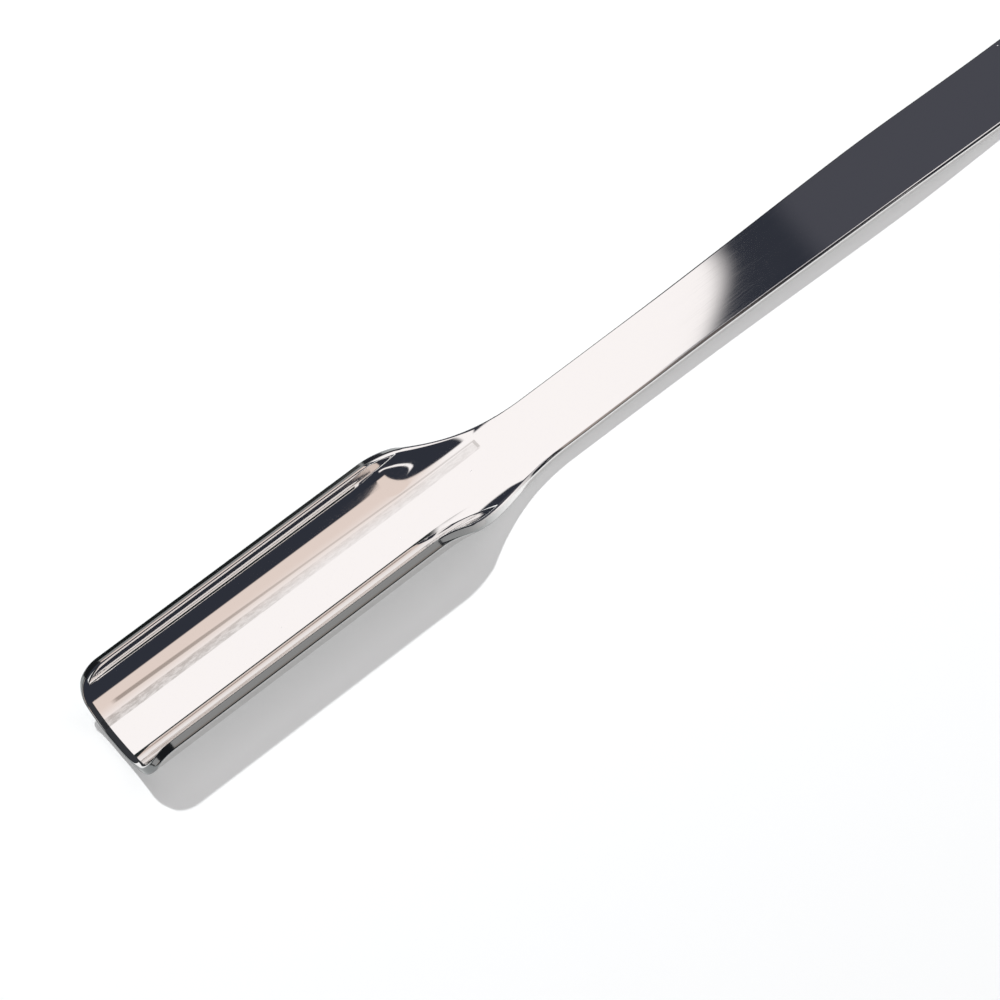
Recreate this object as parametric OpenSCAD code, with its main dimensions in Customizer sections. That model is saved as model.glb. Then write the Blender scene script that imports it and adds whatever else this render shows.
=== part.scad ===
// Trough spatula: one strip of polished sheet steel, with nothing fastened to it.
// It is drawn as the real one is made. A flat blank is cut to its outline, its edges
// are rounded, and then it is formed: the tip is curled into a round trough, and the
// handle is set in a low arch, so that the end of the blade lies flat on the bench.
// +Z is up. The tip points to -X, and the origin is on the bench, half-way along.

/* [Overall] */
// Length from the tip of the trough to the end of the blade
total_len = 200; // [180:1:260]
// Thickness of the sheet
sheet = 1.5; // [1.2:0.1:2]
// Radius of the polished rounding along every edge
edge_round = 0.45; // [0.2:0.05:0.55]
// Angle by which the cut face between those roundings leans out towards its top
edge_lean = 6; // [0:0.5:10]

/* [Trough] */
// Length of the trough from its mouth to the shoulder
trough_len = 55; // [40:0.5:70]
// Width of the flat along the middle of its floor
floor_flat = 2.8; // [0:0.1:5]
// Inside radius of the rounded floor at the trough's mouth
mouth_radius = 7.75; // [6:0.05:10]
// Inside radius of the rounded floor where the shoulder begins
trough_radius = 7.7; // [5.5:0.05:10]
// Angle through which each side of the floor curves up at the mouth
floor_angle = 61.5; // [45:0.5:70]
// Inside radius of the bend where the floor meets each upright rim
bend_radius = 0.8; // [0.8:0.1:4]
// Angle through which that bend turns at the mouth
bend_angle = 18.5; // [0:0.5:22]
// Height of the straight rim above that bend
rim_height = 1.7; // [1:0.1:3]
// Radius of the tip's two corners, measured in the flat blank
tip_corner = 5; // [1:0.5:6]
// How far the middle of the tip stands out past its sides
tip_bulge = 0.6; // [0:0.1:1.5]
// Length behind the tip over which that bulge dies away
bulge_len = 12; // [6:1:20]
// Width over which the upper edge of the tip is ground off
tip_grind = 1; // [0.45:0.05:1.2]
// Length behind the tip over which that grinding narrows to the edge's rounding
grind_len = 8; // [4:0.5:12]

/* [Shoulder] */
// Length over which the walls run down to the handle
shoulder_len = 22; // [16:0.5:28]
// Radius of the corner where the shoulder leaves the trough's edge
shoulder_corner = 12; // [3:0.5:14]
// Length of trough, ahead of the shoulder, in which the section begins to open
opening_lead = 2.5; // [0:0.5:6]

/* [Handle] */
// Width of the handle
handle_width = 11.4; // [9:0.1:14]
// Height of the handle's underside above the bench at the neck
neck_rise = 0.5; // [0:0.05:1]
// Height of the handle's underside above the bench at its highest point
arch_rise = 0.8; // [0:0.1:2.5]
// Distance from that highest point to the end of the blade
arch_back = 62; // [50:1:75]

/* [Blade] */
// Width of the blade
blade_width = 12.8; // [12:0.1:18]
// Length of the blade's parallel part
blade_len = 50; // [38:1:60]
// Length over which the handle widens into the blade
flare_len = 52; // [30:1:62]
// Radius of the blade's two end corners
blade_corner = 6; // [2:0.5:6]
// Length at the end of the blade that lies flat on the bench
flat_len = 28; // [20:1:36]

/* [Hidden] */

// The trough's section at its mouth, in parts from the middle of the floor to one
// rim: [length, curvature, columns of facets], taken along the sheet's middle layer
floor_curve = mouth_radius + sheet / 2;
bend_curve = bend_radius + sheet / 2;
section = [
    [floor_flat / 2, 0, 1],
    [floor_curve * floor_angle * PI / 180, 1 / floor_curve, 6],
    [bend_curve * bend_angle * PI / 180, 1 / bend_curve, 2],
    [rim_height, 0, 1]
];

// Distance from the middle line at which part i of the section begins
function reach(i) = i == 0 ? 0 : reach(i - 1) + section[i - 1][0];

// The middle layer keeps its width when the trough is formed
trough_half = reach(len(section));
handle_half = handle_width / 2;
blade_half = blade_width / 2;

// The blade's two end corners leave a short straight edge between them
end_corner = min(blade_corner, blade_half - edge_round);

// Places along the blank, measured from the tip
opening_x = trough_len - opening_lead;
neck_x = trough_len + shoulder_len;
blade_x = total_len - blade_len;
flare_x = blade_x - flare_len;
peak_x = total_len - arch_back;
flat_x = total_len - flat_len;

// Slope at which the shoulder's edge leaves the trough, the width over which the
// corner there is rounded, and where that rounding begins
shoulder_slope = 2 * (trough_half - handle_half) / shoulder_len;
shoulder_blend = shoulder_corner * shoulder_slope ^ 2 / 2;
corner_x = trough_len - shoulder_blend / shoulder_slope;

// Columns of points across the sheet, as shares of its half-width
side_shares = [
    for (i = [0:len(section) - 1]) for (step = [1:section[i][2]])
        (reach(i) + section[i][0] * step / section[i][2]) / trough_half
];
cols = 2 * len(side_shares);
function share(j) =
    j == cols / 2 ? 0
    : j > cols / 2 ? side_shares[j - cols / 2 - 1]
    : -share(cols - j);

// Facets round each corner of the blank
corner_steps = 5;

// t held between 0 and 1, then with a soft start and end
function clamped(t) = max(0, min(1, t));
function eased(t) = let (c = clamped(t)) c * c * (3 - 2 * c);

// The smaller of two values, rounded where they lie within k of each other
function soft_min(a, b, k) = min(a, b) - max(0, k - abs(a - b)) ^ 2 / (4 * k);

// What a corner of radius r takes off the half-width at distance d from its end
function corner_cut(r, d) = d >= r ? 0 : r - sqrt(r ^ 2 - (r - d) ^ 2);

// Half the width of the flat blank at x
function shoulder_half(x) =
    let (left = 1 - min(1, (x - trough_len) / shoulder_len))
    handle_half + (trough_half - handle_half) * left ^ 2;
function flare(x) = (blade_half - handle_half) * eased((x - flare_x) / flare_len);
function half_width(x) =
    soft_min(trough_half, shoulder_half(x), shoulder_blend) + flare(x)
    - corner_cut(tip_corner, x) - corner_cut(end_corner, total_len - x);

// Evenly spaced values from a up to, but not reaching, b
function spread(a, b, steps) = [for (i = [0:steps - 1]) a + (b - a) * i / steps];

// Stations along the blank, closer together where its outline or its form changes
stations = concat(
    [for (i = [0:corner_steps - 1]) tip_corner * (1 - cos(90 * i / corner_steps))],
    spread(tip_corner, bulge_len, 4),
    spread(bulge_len, corner_x, 4),
    spread(corner_x, neck_x, 19),
    spread(neck_x, flat_x, 15),
    spread(flat_x, total_len - end_corner, 2),
    [for (i = [0:corner_steps]) total_len - end_corner * (1 - sin(90 * i / corner_steps))]
);
rows = len(stations) - 1;

// The blank's outline, clockwise from above, as [row, column] pairs, and its points
outline = concat(
    [for (j = [0:cols]) [0, j]],
    [for (i = [1:rows]) [i, cols]],
    [for (j = [cols - 1:-1:0]) [rows, j]],
    [for (i = [rows - 1:-1:1]) [i, 0]]
);
around = len(outline);
function plan_point(cell) =
    let (x = stations[cell[0]])
    [x, share(cell[1]) * half_width(x)];
outline_points = [for (cell = outline) plan_point(cell)];

// Outward direction at each point of the outline, from its two neighbours
function outward(k) =
    let (
        ahead = outline_points[(k + 1) % around],
        behind = outline_points[(k + around - 1) % around],
        run = ahead - behind
    )
    [-run[1], run[0]] / norm(run);

// How far the rim's surface lies inside the outline, at an angle from 0 on a face of
// the sheet to 90 on the cut face. side is 1 above the middle layer and -1 below it.
straight = sheet / 2 - edge_round;
undercut = 2 * straight * tan(edge_lean);
function ground(x) = edge_round + (tip_grind - edge_round) * (1 - eased(x / grind_len));
function inset(x, angle, side) =
    side > 0 ? ground(x) * (1 - sin(angle))
    : edge_round + (undercut - edge_round) * sin(angle);
function rim_point(k, angle, side) =
    outline_points[k] - inset(outline_points[k][0], angle, side) * outward(k);

// Height of the sheet's underside above the bench along its middle: up a little
// through the shoulder, on up to the arch's highest point, and down to the flat end
function half_wave(t) = (1 - cos(180 * clamped(t))) / 2;
function rise(x) =
    neck_rise * eased((x - trough_len) / shoulder_len)
    + (arch_rise - neck_rise) * half_wave((x - neck_x) / (peak_x - neck_x))
    - arch_rise * half_wave((x - peak_x) / (flat_x - peak_x));

// How tightly each part of the section is curved at x, as a share of its curvature at
// the mouth. The floor tightens from there to the shoulder, and all of it is lost
// between the shoulder and the neck.
function curls(x) =
    let (
        travel = clamped(x / trough_len),
        left = 1 - eased((x - opening_x) / (neck_x - opening_x)),
        floor_now = floor_curve + (trough_radius - mouth_radius) * travel
    )
    left * [1, floor_curve / floor_now, 1, 1];

// [across, up, angle] reached by going a distance d along a curvature k from such a
// place, and by going out from the middle line through the parts of the section
function along(from, d, k) =
    let (turn = k * d * 180 / PI, end = from[2] + turn)
    k == 0
        ? from + [d * cos(end), d * sin(end), 0]
        : from + [(sin(end) - sin(from[2])) / k, (cos(from[2]) - cos(end)) / k, turn];
function climb(s, curls, i = 0, from = [0, 0, 0]) =
    let (next = along(from, min(s, section[i][0]), section[i][1] * curls[i]))
    s <= section[i][0] || i == len(section) - 1
        ? next
        : climb(s - section[i][0], curls, i + 1, next);

// Where a point of the blank goes when it is formed. Its second value is its distance
// from the middle line, and n is its height above the sheet's middle layer.
function formed(p, n) =
    let (
        x = p[0],
        place = climb(abs(p[1]), curls(x)),
        turn = place[2] * sign(p[1]),
        setback = tip_bulge * (p[1] / trough_half) ^ 2 * (1 - clamped(x / bulge_len)) ^ 2
    )
    [
        x + setback - total_len / 2,
        place[0] * sign(p[1]) - n * sin(turn),
        sheet / 2 + rise(x) + place[1] + n * cos(turn)
    ];

// One face of the sheet, as a grid inside its rounded rim
function face_grid(side) = [
    for (i = [0:rows])
        let (
            near = rim_point((around - i) % around, 0, side),
            far = rim_point(cols + i, 0, side)
        )
        for (j = [0:cols])
            let (
                place = i == 0 ? rim_point(j, 0, side)
                    : i == rows ? rim_point(2 * cols + rows - j, 0, side)
                    : near + (far - near) * (1 + share(j)) / 2
            )
            formed(place, side * sheet / 2)
];

// The rim between the two grids, as rings at these angles and sides
rim_rings = [[45, 1], [90, 1], [90, -1], [45, -1]];
function ring_points(angle, side) = [
    for (k = [0:around - 1])
        formed(rim_point(k, angle, side), side * (straight + edge_round * cos(angle)))
];

points = concat(
    face_grid(1),
    face_grid(-1),
    [for (ring = rim_rings) each ring_points(ring[0], ring[1])]
);

// Places of the points in that list
grid_count = (rows + 1) * (cols + 1);
function top_at(cell) = cell[0] * (cols + 1) + cell[1];
function under_at(cell) = grid_count + top_at(cell);
function rim_at(ring, k) =
    ring == 0 ? top_at(outline[k % around])
    : ring > len(rim_rings) ? under_at(outline[k % around])
    : 2 * grid_count + (ring - 1) * around + k % around;

// The corners of one cell of a grid, and of one cell of the rim
function grid_cell(i, j) = [[i, j], [i, j + 1], [i + 1, j + 1], [i + 1, j]];
function rim_cell(ring, k) = [
    rim_at(ring, k),
    rim_at(ring + 1, k),
    rim_at(ring + 1, k + 1),
    rim_at(ring, k + 1)
];

// Four-sided faces, with their corners clockwise from outside
quads = concat(
    [for (i = [0:rows - 1]) for (j = [0:cols - 1]) [for (cell = grid_cell(i, j)) top_at(cell)]],
    [
        for (i = [0:rows - 1]) for (j = [0:cols - 1])
            let (cell = grid_cell(i, j)) [for (n = [3:-1:0]) under_at(cell[n])]
    ],
    [for (ring = [0:len(rim_rings)]) for (k = [0:around - 1]) rim_cell(ring, k)]
);

// Each one is drawn as two triangles, because a formed face is not quite flat
faces = [for (q = quads) each [[q[0], q[1], q[2]], [q[0], q[2], q[3]]]];

module spatula() {
    color("silver") polyhedron(points = points, faces = faces, convexity = 6);
}

spatula();
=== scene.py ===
"""A trough spatula of polished sheet steel, lying on a white bench.

The CAD node is replaced by a finer mesh that is formed by the same rules: a flat blank
is cut to its outline, its edges are rounded, and it is curled and arched into shape.
Shape functions work in millimetres, measured along the blank from the tip.
"""
import math

import bpy
import numpy as np
from mathutils import Matrix, Vector


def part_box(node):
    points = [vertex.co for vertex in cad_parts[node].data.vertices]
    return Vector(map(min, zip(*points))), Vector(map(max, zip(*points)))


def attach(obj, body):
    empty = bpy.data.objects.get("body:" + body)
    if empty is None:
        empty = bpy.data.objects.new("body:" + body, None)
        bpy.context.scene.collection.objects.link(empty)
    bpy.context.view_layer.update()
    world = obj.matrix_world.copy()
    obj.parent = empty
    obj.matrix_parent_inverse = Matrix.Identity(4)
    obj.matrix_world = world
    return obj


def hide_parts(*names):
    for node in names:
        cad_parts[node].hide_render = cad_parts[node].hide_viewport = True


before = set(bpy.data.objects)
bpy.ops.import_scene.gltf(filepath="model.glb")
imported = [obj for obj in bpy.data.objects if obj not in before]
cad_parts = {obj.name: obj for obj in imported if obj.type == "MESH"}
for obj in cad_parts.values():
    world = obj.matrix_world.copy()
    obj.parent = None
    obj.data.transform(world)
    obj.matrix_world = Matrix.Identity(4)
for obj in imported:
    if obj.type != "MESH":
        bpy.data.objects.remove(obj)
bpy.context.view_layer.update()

low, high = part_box("spatula")

MM = 0.001
TOTAL_LEN = (high.x - low.x) / MM

# ---------------------------------------------------------------- sizes, as in the CAD source
SHEET = 1.5
EDGE_ROUND = 0.45
EDGE_LEAN = 6
TROUGH_LEN = 55
FLOOR_FLAT = 2.8
MOUTH_RADIUS = 7.75
TROUGH_RADIUS = 7.7
FLOOR_ANGLE = 61.5
BEND_RADIUS = 0.8
BEND_ANGLE = 18.5
RIM_HEIGHT = 1.7
TIP_CORNER = 5
TIP_BULGE = 0.6
BULGE_LEN = 12
TIP_GRIND = 1
GRIND_LEN = 8
SHOULDER_LEN = 22
SHOULDER_CORNER = 12
OPENING_LEAD = 2.5
HANDLE_WIDTH = 11.4
NECK_RISE = 0.5
ARCH_RISE = 0.8
ARCH_BACK = 62
BLADE_WIDTH = 12.8
BLADE_LEN = 50
FLARE_LEN = 52
BLADE_CORNER = 6
FLAT_LEN = 28

# The trough's section at its mouth, from the middle of the floor to one rim, as
# lengths and curvatures along the sheet's middle layer
FLOOR_CURVE = MOUTH_RADIUS + SHEET / 2
BEND_CURVE = BEND_RADIUS + SHEET / 2
SECTION = [
    (FLOOR_FLAT / 2, 0, 3),
    (FLOOR_CURVE * math.radians(FLOOR_ANGLE), 1 / FLOOR_CURVE, 32),
    (BEND_CURVE * math.radians(BEND_ANGLE), 1 / BEND_CURVE, 14),
    (RIM_HEIGHT, 0, 9),
]
TROUGH_HALF = sum(length for length, curvature, columns in SECTION)
HANDLE_HALF = HANDLE_WIDTH / 2
BLADE_HALF = BLADE_WIDTH / 2
END_CORNER = min(BLADE_CORNER, BLADE_HALF - EDGE_ROUND)
OPENING_X = TROUGH_LEN - OPENING_LEAD
NECK_X = TROUGH_LEN + SHOULDER_LEN
FLARE_X = TOTAL_LEN - BLADE_LEN - FLARE_LEN
PEAK_X = TOTAL_LEN - ARCH_BACK
FLAT_X = TOTAL_LEN - FLAT_LEN
SHOULDER_SLOPE = 2 * (TROUGH_HALF - HANDLE_HALF) / SHOULDER_LEN
SHOULDER_BLEND = SHOULDER_CORNER * SHOULDER_SLOPE ** 2 / 2
CORNER_X = TROUGH_LEN - SHOULDER_BLEND / SHOULDER_SLOPE
# Half the height of the cut face's flat part, and how far its lean sets the underside back
STRAIGHT = SHEET / 2 - EDGE_ROUND
UNDERCUT = 2 * STRAIGHT * math.tan(math.radians(EDGE_LEAN))

# ---------------------------------------------------------------- how fine the mesh is
CORNER_ROWS = 14
ROUND_RINGS = 5
# Stretches of the blank between its end corners, as (start, end, points along it)
STRETCHES = [
    (TIP_CORNER, BULGE_LEN, 20),
    (BULGE_LEN, CORNER_X, 40),
    (CORNER_X, NECK_X, 136),
    (NECK_X, FLAT_X, 70),
    (FLAT_X, TOTAL_LEN - END_CORNER, 8),
]
# Rows close to both sides of the cut face keep it looking flat. They are shares of its height.
CUT_ROWS = (0.1, 0.9)
RIM_RINGS = 2 * ROUND_RINGS + len(CUT_ROWS)


def clamped(t):
    return np.clip(t, 0, 1)


def eased(t):
    return clamped(t) ** 2 * (3 - 2 * clamped(t))


def half_wave(t):
    return (1 - np.cos(math.pi * clamped(t))) / 2


def soft_min(a, b, k):
    """The smaller of two values, rounded where they lie within k of each other."""
    return np.minimum(a, b) - np.maximum(0, k - abs(a - b)) ** 2 / (4 * k)


def corner_cut(radius, distance):
    """What a rounded corner takes off the half-width at a distance from its end."""
    inside = np.clip(radius - distance, 0, radius)
    return radius - np.sqrt(radius ** 2 - inside ** 2)


def half_width(x):
    """Half the width of the flat blank."""
    left = 1 - np.minimum(1, (x - TROUGH_LEN) / SHOULDER_LEN)
    shoulder = HANDLE_HALF + (TROUGH_HALF - HANDLE_HALF) * left ** 2
    flare = (BLADE_HALF - HANDLE_HALF) * eased((x - FLARE_X) / FLARE_LEN)
    corners = corner_cut(TIP_CORNER, x) + corner_cut(END_CORNER, TOTAL_LEN - x)
    return soft_min(TROUGH_HALF, shoulder, SHOULDER_BLEND) + flare - corners


def rise(x):
    """Height of the sheet's underside above the bench, along the middle line."""
    neck = NECK_RISE * eased((x - TROUGH_LEN) / SHOULDER_LEN)
    arch = (ARCH_RISE - NECK_RISE) * half_wave((x - NECK_X) / (PEAK_X - NECK_X))
    return neck + arch - ARCH_RISE * half_wave((x - PEAK_X) / (FLAT_X - PEAK_X))


def curls(x):
    """Share of its curvature at the mouth that each part of the section has at x."""
    travel = clamped(x / TROUGH_LEN)
    left = 1 - eased((x - OPENING_X) / (NECK_X - OPENING_X))
    floor_now = FLOOR_CURVE + (TROUGH_RADIUS - MOUTH_RADIUS) * travel
    return [left, left * FLOOR_CURVE / floor_now, left, left]


def climb(distance, tightness):
    """How far across and up the section's middle layer gets, and its angle there."""
    across = up = angle = np.zeros_like(distance)
    start = 0
    for (length, curvature, columns), share in zip(SECTION, tightness):
        run = np.clip(distance - start, 0, length)
        turn = curvature * share * run
        # The chord of this part, which is its whole length where it is straight
        chord = run * np.sinc(turn / (2 * math.pi))
        across = across + chord * np.cos(angle + turn / 2)
        up = up + chord * np.sin(angle + turn / 2)
        angle = angle + turn
        start += length
    return across, up, angle


def formed(x, s, n):
    """Where a point of the blank goes: s across it, n above its middle layer."""
    across, up, turn = climb(abs(s), curls(x))
    side = np.sign(s)
    setback = TIP_BULGE * (s / TROUGH_HALF) ** 2 * (1 - clamped(x / BULGE_LEN)) ** 2
    return np.stack([
        x + setback - TOTAL_LEN / 2,
        side * (across - n * np.sin(turn)),
        SHEET / 2 + rise(x) + up + n * np.cos(turn),
    ], axis=-1) * MM


def stations():
    """Places along the blank where the mesh has a row of points."""
    corner = np.linspace(0, math.pi / 2, CORNER_ROWS + 1)
    runs = [np.linspace(*stretch) for stretch in STRETCHES]
    runs.append(TOTAL_LEN - END_CORNER * (1 - np.sin(corner)))
    tip = TIP_CORNER * (1 - np.cos(corner))
    # Each run starts at the last point of the one before it
    return np.concatenate([tip] + [run[1:] for run in runs])


def shares():
    """Places across the blank of the mesh's columns, as shares of its half-width."""
    one_side = [0]
    for length, curvature, columns in SECTION:
        steps = np.linspace(0, length / TROUGH_HALF, columns + 1)[1:]
        one_side.extend(one_side[-1] + steps)
    return np.concatenate([-np.array(one_side[:0:-1]), one_side])


def inset(x, angle, side):
    """How far the rim's surface lies inside the outline, from a face to the cut face."""
    if side < 0:
        return np.full_like(x, EDGE_ROUND + (UNDERCUT - EDGE_ROUND) * math.sin(angle))
    ground = EDGE_ROUND + (TIP_GRIND - EDGE_ROUND) * (1 - eased(x / GRIND_LEN))
    return ground * (1 - math.sin(angle))


def outline_cells(rows, columns):
    """The rows and the columns of the points once round a face's edge, from a tip corner."""
    cells = (
        [(0, j) for j in range(columns + 1)]
        + [(i, columns) for i in range(1, rows + 1)]
        + [(rows, j) for j in range(columns - 1, -1, -1)]
        + [(i, 0) for i in range(rows - 1, 0, -1)]
    )
    return np.array(cells).T


def mesh_faces(rows, columns):
    """The mesh's faces: the upper face, the underside, and the bands round the rim."""
    size = (rows + 1) * (columns + 1)
    top = np.arange(size).reshape(rows + 1, columns + 1)
    under = top + size
    row, column = outline_cells(rows, columns)
    around = len(row)
    loops = [top[row, column]]
    loops += [2 * size + i * around + np.arange(around) for i in range(RIM_RINGS)]
    loops.append(under[row, column])
    quads = [
        np.stack([top[:-1, :-1], top[1:, :-1], top[1:, 1:], top[:-1, 1:]], axis=-1),
        np.stack([under[:-1, :-1], under[:-1, 1:], under[1:, 1:], under[1:, :-1]], axis=-1),
    ]
    for a, b in zip(loops, loops[1:]):
        quads.append(np.stack([a, np.roll(a, -1), np.roll(b, -1), b], axis=-1))
    return np.concatenate([group.reshape(-1, 4) for group in quads])


def blank_points(along, across):
    """The flat blank's points: its two faces, then the rings round its rim from the top."""
    rows = len(along) - 1
    columns = len(across) - 1
    row, column = outline_cells(rows, columns)
    around = len(row)
    edge = np.stack([along[row], across[column] * half_width(along[row])], axis=-1)
    run = np.roll(edge, -1, axis=0) - np.roll(edge, 1, axis=0)
    outward = np.stack([-run[:, 1], run[:, 0]], axis=-1)
    outward /= np.linalg.norm(run, axis=1, keepdims=True)

    def ring(angle, side):
        """Points round the rim, at an angle round the rounding of the upper or lower side."""
        place = edge - inset(edge[:, 0], angle, side)[:, None] * outward
        height = side * (STRAIGHT + EDGE_ROUND * math.cos(angle))
        return np.column_stack([place, np.full(around, height)])

    def face(side):
        """A grid of points on the upper or lower face, in straight rows from edge to edge."""
        inner = ring(0, side)
        share = ((across + 1) / 2)[:, None]
        grid = np.empty((rows + 1, columns + 1, 3))
        for i in range(1, rows):
            near = inner[around - i]
            far = inner[columns + i]
            grid[i] = near + (far - near) * share
        grid[0] = inner[:columns + 1]
        grid[rows] = inner[columns + rows:2 * columns + rows + 1][::-1]
        return grid.reshape(-1, 3)

    angles = np.linspace(0, math.pi / 2, ROUND_RINGS + 1)[1:]
    upper = [ring(angle, 1) for angle in angles]
    lower = [ring(angle, -1) for angle in angles[::-1]]
    cut_face = [upper[-1] * (1 - t) + lower[0] * t for t in CUT_ROWS]
    return np.concatenate([face(1), face(-1)] + upper + cut_face + lower)


def spatula_mesh():
    """The formed sheet as one closed mesh, with each point's place in the blank."""
    along = stations()
    across = shares()
    blank = blank_points(along, across)
    points = formed(blank[:, 0], blank[:, 1], blank[:, 2])
    faces = mesh_faces(len(along) - 1, len(across) - 1)

    mesh = bpy.data.meshes.new("spatula_steel")
    mesh.from_pydata(points.tolist(), [], faces.tolist())
    place = mesh.attributes.new("blank", "FLOAT_VECTOR", "POINT")
    place.data.foreach_set("vector", blank.ravel())
    mesh.shade_smooth()
    mesh.validate()
    return mesh


# ---------------------------------------------------------------- node helpers
class Nodes:
    """Adds shader nodes to a tree and links them, so that a formula reads as one."""

    def __init__(self, tree):
        self.tree = tree
        tree.nodes.clear()

    def add(self, kind, inputs=None, **settings):
        node = self.tree.nodes.new(kind)
        for name, value in settings.items():
            setattr(node, name, value)
        for name, value in (inputs or {}).items():
            self.feed(node.inputs[name], value)
        return node

    def feed(self, socket, value):
        if isinstance(value, bpy.types.NodeSocket):
            self.tree.links.new(value, socket)
        else:
            socket.default_value = value

    def math(self, operation, *values):
        node = self.add("ShaderNodeMath", operation=operation)
        for socket, value in zip(node.inputs, values):
            self.feed(socket, value)
        return node.outputs[0]

    def ramp(self, value, start, end, low=0.0, high=1.0):
        """A soft step from low to high as the value goes from start to end."""
        node = self.add("ShaderNodeMapRange", interpolation_type="SMOOTHSTEP", inputs={
            "Value": value, "From Min": start, "From Max": end, "To Min": low, "To Max": high,
        })
        return node.outputs["Result"]

    def mix(self, factor, a, b):
        node = self.add("ShaderNodeMix", data_type="RGBA")
        self.feed(node.inputs["Factor"], factor)
        self.feed(node.inputs["A"], a)
        self.feed(node.inputs["B"], b)
        return node.outputs["Result"]


# ---------------------------------------------------------------- the steel
STEEL = (0.86, 0.85, 0.84, 1)
# Painted shade: the cut face round the trough is coloured dark
CUT_PAINTED_SHADE = (0.22, 0.23, 0.23, 1)
# Painted dark reflection: the upper corner of the cut face past the trough is coloured near
# black
CORNER_PAINTED_REFLECTION = (0.08, 0.08, 0.08, 1)
PRESS_STAIN = (0.42, 0.40, 0.38, 1)
DUST = (0.75, 0.75, 0.76, 1)

# The press tool has left a dull lane along the far side of the trough's floor, with a
# line beside it, and a short tick across its end. LANE and TICK are places across the
# blank, the line's ends are (along, across), and the other pairs of places are along it.
LANE = (3.05, 4.5)
LANE_FADE = (12, 44)
LANE_STAIN = (0.7, 0.3)
LINE_START = (3.2, 5.9)
LINE_END = (67.6, 4.68)
LINE_RISE = (LINE_START[0] - 0.3, LINE_START[0] + 1.2)
LINE_FADE = (10, 44)
LINE_STAIN = (0.9, 0.5)
LINE_THINS = (10, 42)
LINE_HALF = (0.29, 0.13)
MARKS_END = (LINE_END[0] + 0.3, LINE_END[0] - 0.3)
MARK_SOFT = 0.12
TICK = (3.3, 4.8)
TICK_ALONG = (LINE_END[0] - 0.3, LINE_END[0] + 0.2)
TICK_STAIN = 0.6
TICK_SOFT = 0.1
# Heights above the middle layer between which a stain comes in
STAINED = (SHEET / 2 - 0.15, SHEET / 2 - 0.05)

# Roughness of the polished faces, and what a stain or the cut face adds to it
POLISH = (0.028, 0.045)
STAIN_ROUGHNESS = 0.12
CUT_ROUGHNESS = 0.08

# The cut face is satin round the trough, where its dark colour is painted shade, and turns
# bright past it. There only its upper corner is dark, a painted dark reflection, and less so on
# the near side. SATIN_AND_SHADE and CORNER are heights above the middle layer, and the fades
# are places along the blank.
SATIN_AND_SHADE = (-SHEET / 2 + 0.02, SHEET / 2 - 0.2)
SATIN_AND_SHADE_SOFT = 0.06
SATIN_AND_SHADE_FADE = (TROUGH_LEN + 12, TROUGH_LEN)
CORNER = (STRAIGHT + 0.15, SHEET / 2 - 0.02)
CORNER_SOFT = 0.01
CORNER_FADE = (TROUGH_LEN + 8, TROUGH_LEN + 18)
NEAR_CORNER = 0.6

# Noise that is drawn out along the blank: how often it changes per millimetre along and
# across, and the range of it that is used
GRAIN = (0.7, 2.6)
GRAIN_ROUGHNESS = 0.7
GRAIN_RANGE = (0.36, 0.62)
GRAIN_STAIN = (0.55, 1.1)
HAIRLINES = (0.1, 5.0)
HAIRLINE_ROUGHNESS = 0.6
HAIRLINE_RANGE = (0.35, 0.75)
NOISE_DETAIL = 4.0

# Specks of dust sit in a few of the cells of a pattern
DUST_SCALE = 0.42
DUST_SIZE = (0.045, 0.03)
DUSTY_CELLS = (0.86, 0.88)


def between(n, value, start, end, soft):
    """1 between start and end, with soft edges, and 0 outside."""
    rising = n.ramp(value, start - soft, start + soft)
    falling = n.ramp(value, end + soft, end - soft)
    return n.math("MULTIPLY", rising, falling)


def press_marks(n, x, s, grain):
    """How strongly each point of the upper face is stained by the press tool."""
    lane = n.math("MULTIPLY", n.ramp(x, *LANE_FADE, *LANE_STAIN), grain)
    lane = n.math("MULTIPLY", lane, between(n, s, *LANE, MARK_SOFT))

    slope = (LINE_END[1] - LINE_START[1]) / (LINE_END[0] - LINE_START[0])
    centre = n.math("MULTIPLY_ADD", x, slope, LINE_START[1] - slope * LINE_START[0])
    off_line = n.math("ABSOLUTE", n.math("SUBTRACT", s, centre))
    past_line = n.math("SUBTRACT", off_line, n.ramp(x, *LINE_THINS, *LINE_HALF))
    line = n.math("MULTIPLY", n.ramp(x, *LINE_FADE, *LINE_STAIN), n.ramp(x, *LINE_RISE))
    line = n.math("MULTIPLY", line, n.ramp(past_line, MARK_SOFT, -MARK_SOFT))

    marks = n.math("MULTIPLY", n.math("MAXIMUM", lane, line), n.ramp(x, *MARKS_END))
    tick = n.math("MULTIPLY", between(n, s, *TICK, TICK_SOFT), TICK_STAIN)
    tick = n.math("MULTIPLY", tick, between(n, x, *TICK_ALONG, TICK_SOFT))
    return n.math("MAXIMUM", marks, tick)


def streaks(n, x, s, height, per_mm, roughness):
    """Noise that is drawn out along the blank."""
    place = n.add("ShaderNodeCombineXYZ", inputs={
        "X": n.math("MULTIPLY", x, per_mm[0]),
        "Y": n.math("MULTIPLY", s, per_mm[1]),
        "Z": height,
    }).outputs[0]
    return n.add("ShaderNodeTexNoise", inputs={
        "Vector": place, "Scale": 1.0, "Detail": NOISE_DETAIL, "Roughness": roughness,
    }).outputs["Fac"]


def dust_specks(n, place):
    """1 on a speck of dust and 0 elsewhere."""
    cells = n.add("ShaderNodeTexVoronoi", inputs={"Vector": place, "Scale": DUST_SCALE})
    colour = cells.outputs["Color"]
    chosen = n.add("ShaderNodeSeparateColor", inputs={"Color": colour}).outputs["Red"]
    near_centre = n.ramp(cells.outputs["Distance"], *DUST_SIZE)
    return n.math("MULTIPLY", near_centre, n.ramp(chosen, *DUSTY_CELLS))


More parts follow.
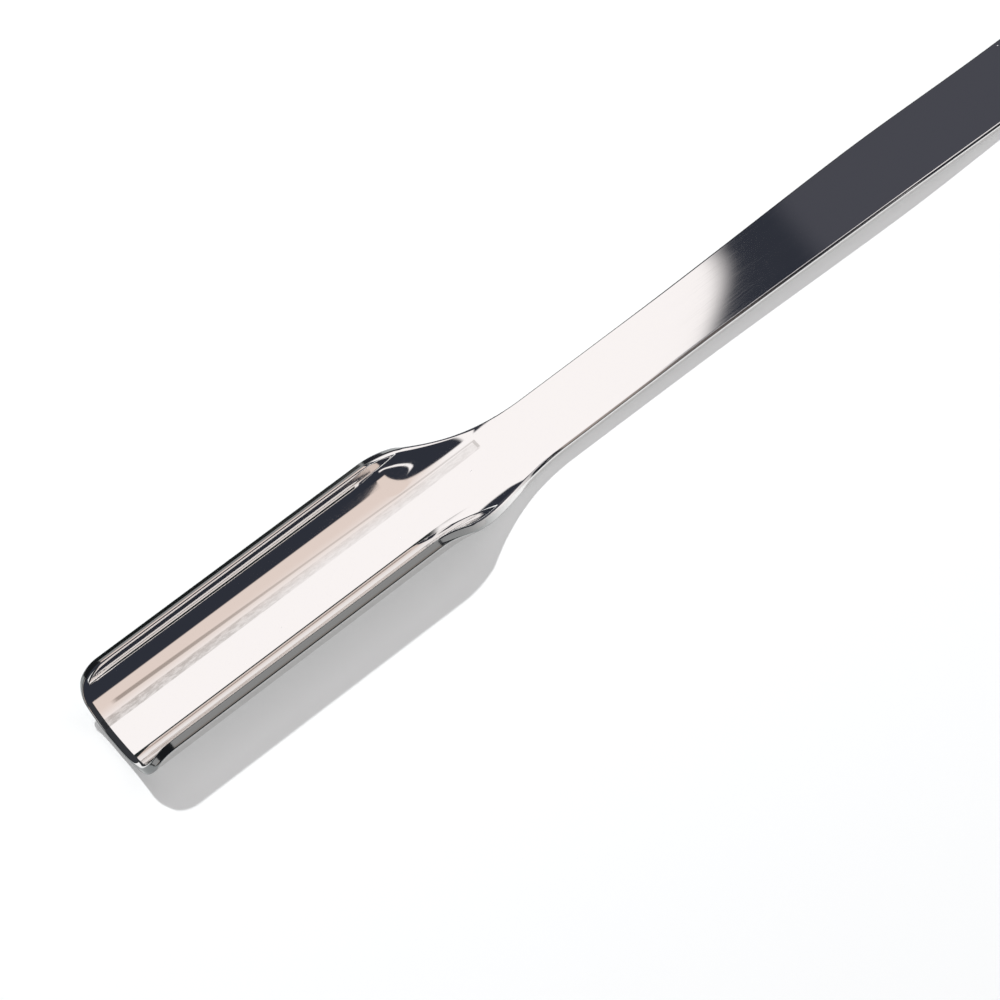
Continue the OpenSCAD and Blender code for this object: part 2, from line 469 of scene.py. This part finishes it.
def steel_material():
    """Polished sheet with satin cut faces, press marks, hairlines and a little dust; painted
    shade and a painted dark reflection darken the cut faces.
    """
    material = bpy.data.materials.new("polished_steel")
    material.use_nodes = True
    n = Nodes(material.node_tree)
    place = n.add("ShaderNodeAttribute", attribute_name="blank").outputs["Vector"]
    x, s, height = n.add("ShaderNodeSeparateXYZ", inputs={"Vector": place}).outputs

    # Painted shade: the cut face round the trough is coloured dark, and also made rougher
    satin_and_shade = between(n, height, *SATIN_AND_SHADE, SATIN_AND_SHADE_SOFT)
    satin_and_shade = n.math("MULTIPLY", satin_and_shade, n.ramp(x, *SATIN_AND_SHADE_FADE))
    # Painted dark reflection along the upper corner of the cut face past the trough, weaker on
    # the near side
    corner = between(n, height, *CORNER, CORNER_SOFT)
    corner = n.math("MULTIPLY", corner, n.ramp(x, *CORNER_FADE))
    corner = n.math("MULTIPLY", corner, n.ramp(s, -HANDLE_HALF, HANDLE_HALF, NEAR_CORNER, 1))
    cut = n.math("MAXIMUM", satin_and_shade, corner)

    grain = streaks(n, x, s, height, GRAIN, GRAIN_ROUGHNESS)
    stain = press_marks(n, x, s, n.ramp(grain, *GRAIN_RANGE, *GRAIN_STAIN))
    stain = n.math("MULTIPLY", stain, n.ramp(height, *STAINED))

    hairlines = streaks(n, x, s, height, HAIRLINES, HAIRLINE_ROUGHNESS)
    rough = n.ramp(hairlines, *HAIRLINE_RANGE, *POLISH)
    rough = n.math("MULTIPLY_ADD", stain, STAIN_ROUGHNESS, rough)
    rough = n.math("MULTIPLY_ADD", cut, CUT_ROUGHNESS, rough)

    colour = n.mix(stain, STEEL, PRESS_STAIN)
    # The cut face gets its painted shade, then its upper corner its painted dark reflection
    colour = n.mix(satin_and_shade, colour, CUT_PAINTED_SHADE)
    colour = n.mix(corner, colour, CORNER_PAINTED_REFLECTION)
    dust = dust_specks(n, place)
    shader = n.add("ShaderNodeBsdfPrincipled", inputs={
        "Base Color": n.mix(dust, colour, DUST),
        "Metallic": n.math("SUBTRACT", 1.0, dust),
        "Roughness": rough,
    })
    out = n.add("ShaderNodeOutputMaterial")
    n.tree.links.new(shader.outputs[0], out.inputs["Surface"])
    return material


# ---------------------------------------------------------------- the studio
def mirrored(red, green, blue):
    """The light that looks like this colour, from 11 to 255, once the steel has mirrored it."""
    linear = [((c / 255 + 0.055) / 1.055) ** 2.4 for c in (red, green, blue)]
    return (*[c / STEEL[0] for c in linear], 1)


# The studio's colours, as they look in the steel
WHITE_SIDE = mirrored(249, 245, 245)
CEILING = mirrored(223, 207, 199)
BACK_LOW = mirrored(34, 40, 40)
FRONT = mirrored(45, 48, 57)
RIGHT = mirrored(70, 71, 79)
LEFT = mirrored(52, 54, 58)

# Where its parts are, in degrees. Tilt is the angle from overhead towards the front, and
# swing is the angle towards the handle's end. A pair says where a soft edge starts and ends.
WARM_TILT = (-12, 34)
LOW_TILT = (-61, -62.5)
LOW_SWING = (13.3, 12.5)
LEFT_SWING = (-60, 2.5)
LEFT_SOFT = 1.0

# The dark front starts at a tilt that steps up, where the swing passes FRONT_STEP
FRONT_STEP = (11.7, 12.3)
FRONT_TILT = (51, 68)
FRONT_SOFT = 1.5

# The dark screen starts at a swing that steps up, then leans back, as the tilt falls
SCREEN_STEP = (-31.7, -33.7)
SCREEN_SWING = (17.05, 18.85)
SCREEN_LEAN_TILT = (-45, -60)
SCREEN_LEAN = (0, -1.8)
SCREEN_SOFT = 0.4
RIGHT_SWING = (20.2, 21.0)
RIGHT_TILT = (-10, -20)

# Ovals in the sky, as (tilt, swing) of the centre and of the half-axes
CEILING_OVAL = ((42, 14.5), (25, 2.8))
CEILING_EDGE = (1.05, 0.95)
REFLECTOR_OVAL = ((56, 16.3), (27, 8))
REFLECTOR_RIM = (0.86, 1.0)
RIM_SOFT = 0.03
RIM_SWING = (15.5, 17.0)
RIM_TILT = (33, 37)

# The window's sill is at a swing of SILL_TOP less SILL_DROP, which shrinks with the tilt
SILL_TOP = 35
SILL_DROP = 12
SILL_SHRINK = 0.965
SILL_SOFT = 1
WINDOW_TILT = (-19, -17)


def oval_distance(n, tilt, swing, oval):
    """Distance from the centre of an oval in the sky, 1 on its edge."""
    (tilt_centre, swing_centre), (tilt_half, swing_half) = oval
    across = n.math("DIVIDE", n.math("SUBTRACT", tilt, tilt_centre), tilt_half)
    up = n.math("DIVIDE", n.math("SUBTRACT", swing, swing_centre), swing_half)
    squares = n.math("ADD", n.math("MULTIPLY", across, across), n.math("MULTIPLY", up, up))
    return n.math("SQRT", squares)


def dark_screen(n, tilt, swing):
    """1 where the screen at the right is seen, and its colour there."""
    edge = n.ramp(tilt, *SCREEN_STEP, *SCREEN_SWING)
    edge = n.math("ADD", edge, n.ramp(tilt, *SCREEN_LEAN_TILT, *SCREEN_LEAN))
    past_edge = n.math("SUBTRACT", swing, edge)
    paler = n.math("MULTIPLY", n.ramp(swing, *RIGHT_SWING), n.ramp(tilt, *RIGHT_TILT))
    return n.ramp(past_edge, -SCREEN_SOFT, SCREEN_SOFT), n.mix(paler, FRONT, RIGHT)


def reflector_rim(n, tilt, swing):
    """1 on the white rim of the reflector, which shows past the screen."""
    rim = between(n, oval_distance(n, tilt, swing, REFLECTOR_OVAL), *REFLECTOR_RIM, RIM_SOFT)
    rim = n.math("MULTIPLY", rim, n.ramp(swing, *RIM_SWING))
    return n.math("MULTIPLY", rim, n.ramp(tilt, *RIM_TILT))


def window_light(n, tilt, swing):
    """1 in the window, which stands above the screen."""
    sill = n.math("MULTIPLY_ADD", n.math("POWER", SILL_SHRINK, tilt), -SILL_DROP, SILL_TOP)
    above = n.ramp(n.math("SUBTRACT", swing, sill), -SILL_SOFT, SILL_SOFT)
    return n.math("MULTIPLY", above, n.ramp(tilt, *WINDOW_TILT))


def sky():
    """The studio as the steel sees it. The camera sees plain white instead."""
    world = bpy.data.worlds.new("studio")
    bpy.context.scene.world = world
    world.use_nodes = True
    n = Nodes(world.node_tree)
    direction = n.add("ShaderNodeTexCoord").outputs["Generated"]
    x, y, z = n.add("ShaderNodeSeparateXYZ", inputs={"Vector": direction}).outputs
    tilt = n.math("DEGREES", n.math("ARCTAN2", n.math("MULTIPLY", y, -1.0), z))
    swing = n.math("DEGREES", n.math("ARCSINE", x))

    # White walls behind fade to a warm ceiling, with a dark low back and a dark left
    colour = n.mix(n.ramp(tilt, *WARM_TILT), WHITE_SIDE, CEILING)
    low_back = n.math("MULTIPLY", n.ramp(tilt, *LOW_TILT), n.ramp(swing, *LOW_SWING))
    colour = n.mix(low_back, colour, BACK_LOW)
    colour = n.mix(between(n, swing, *LEFT_SWING, LEFT_SOFT), colour, LEFT)

    past_front = n.math("SUBTRACT", tilt, n.ramp(swing, *FRONT_STEP, *FRONT_TILT))
    colour = n.mix(n.ramp(past_front, -FRONT_SOFT, FRONT_SOFT), colour, FRONT)

    screen, screen_colour = dark_screen(n, tilt, swing)
    colour = n.mix(screen, colour, screen_colour)

    # The warm ceiling shows past the screen, round a reflector with a white rim
    ceiling = n.ramp(oval_distance(n, tilt, swing, CEILING_OVAL), *CEILING_EDGE)
    colour = n.mix(ceiling, colour, CEILING)
    colour = n.mix(reflector_rim(n, tilt, swing), colour, WHITE_SIDE)
    colour = n.mix(window_light(n, tilt, swing), colour, WHITE_SIDE)

    light_path = n.add("ShaderNodeLightPath")
    colour = n.mix(light_path.outputs["Is Camera Ray"], colour, (1, 1, 1, 1))
    background = n.add("ShaderNodeBackground", inputs={"Color": colour, "Strength": 1.0})
    out = n.add("ShaderNodeOutputWorld")
    n.tree.links.new(background.outputs[0], out.inputs["Surface"])


# The bench, in metres. It lies just below the steel, so that the two faces don't fight.
FLOOR_SPAN = 3.0
FLOOR_DROP = 0.00005
BENCH = (0.60, 0.615, 0.62, 1)
BENCH_ROUGHNESS = 0.9
BENCH_LIFT = 0.325


def floor():
    """A pale bench. Seen directly or in the steel it is lifted to white, under its shadow."""
    half = FLOOR_SPAN / 2
    mesh = bpy.data.meshes.new("bench")
    corners = [(-half, -half, 0), (half, -half, 0), (half, half, 0), (-half, half, 0)]
    mesh.from_pydata(corners, [], [(0, 1, 2, 3)])
    bench = bpy.data.objects.new("bench", mesh)
    bench.location.z = low.z - FLOOR_DROP
    bpy.context.scene.collection.objects.link(bench)
    material = bpy.data.materials.new("bench_white")
    material.use_nodes = True
    n = Nodes(material.node_tree)
    path = n.add("ShaderNodeLightPath")
    seen = n.math("ADD", path.outputs["Is Camera Ray"], path.outputs["Is Glossy Ray"])
    seen = n.math("ADD", seen, path.outputs["Is Transmission Ray"])
    shader = n.add("ShaderNodeBsdfPrincipled", inputs={
        "Base Color": BENCH,
        "Roughness": BENCH_ROUGHNESS,
        "Specular IOR Level": 0.0,
        "Emission Color": (1, 1, 1, 1),
        "Emission Strength": n.math("MULTIPLY", seen, BENCH_LIFT),
    })
    out = n.add("ShaderNodeOutputMaterial")
    n.tree.links.new(shader.outputs[0], out.inputs["Surface"])
    mesh.materials.append(material)


# The lamp behind the spatula, which casts its shadow towards the camera. Its height and
# swing are angles, and its distance and size are in metres.
LAMP_HEIGHT = 55
LAMP_SWING = 8
LAMP_DISTANCE = 1.2
LAMP_SIZE = 0.05
LAMP_POWER = 14.6


def lamp():
    light = bpy.data.lights.new("softbox", "AREA")
    light.size = LAMP_SIZE
    light.energy = LAMP_POWER
    softbox = bpy.data.objects.new("softbox", light)
    height = math.radians(LAMP_HEIGHT)
    swing = math.radians(LAMP_SWING)
    level = math.cos(height)
    towards = Vector((level * math.sin(swing), level * math.cos(swing), math.sin(height)))
    softbox.location = LAMP_DISTANCE * towards
    softbox.rotation_euler = towards.to_track_quat("Z", "Y").to_euler()
    # The steel mirrors the studio that is drawn in the sky, and not this lamp
    softbox.visible_glossy = False
    bpy.context.scene.collection.objects.link(softbox)


# ---------------------------------------------------------------- the camera
CAMERA_PLACE = Vector((-0.1415, -0.2395, 0.3655))
CAMERA_AIM = Vector((-0.0354, -0.0050, 0))
CAMERA_LENS = 112.3
CAMERA_SENSOR = 36
# Angle in the picture between its lower edge and the spatula's length
CAMERA_TURN = 37.05


def camera():
    data = bpy.data.cameras.new("camera")
    data.lens = CAMERA_LENS
    data.sensor_width = CAMERA_SENSOR
    data.clip_start = 0.01
    view = bpy.data.objects.new("camera", data)
    bpy.context.scene.collection.objects.link(view)
    back = (CAMERA_PLACE - CAMERA_AIM).normalized()
    length = Vector((1, 0, 0))
    right = (length - back * length.dot(back)).normalized()
    frame_axes = Matrix((right, back.cross(right), back)).transposed()
    turn = Matrix.Rotation(math.radians(-CAMERA_TURN), 3, "Z")
    view.matrix_world = Matrix.Translation(CAMERA_PLACE) @ (frame_axes @ turn).to_4x4()
    bpy.context.scene.camera = view


camera()
spatula = bpy.data.objects.new("spatula_polished", spatula_mesh())
bpy.context.scene.collection.objects.link(spatula)
spatula.data.materials.append(steel_material())
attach(spatula, "root")
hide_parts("spatula")
floor()
lamp()
sky()
bpy.context.scene.view_settings.view_transform = "Standard"
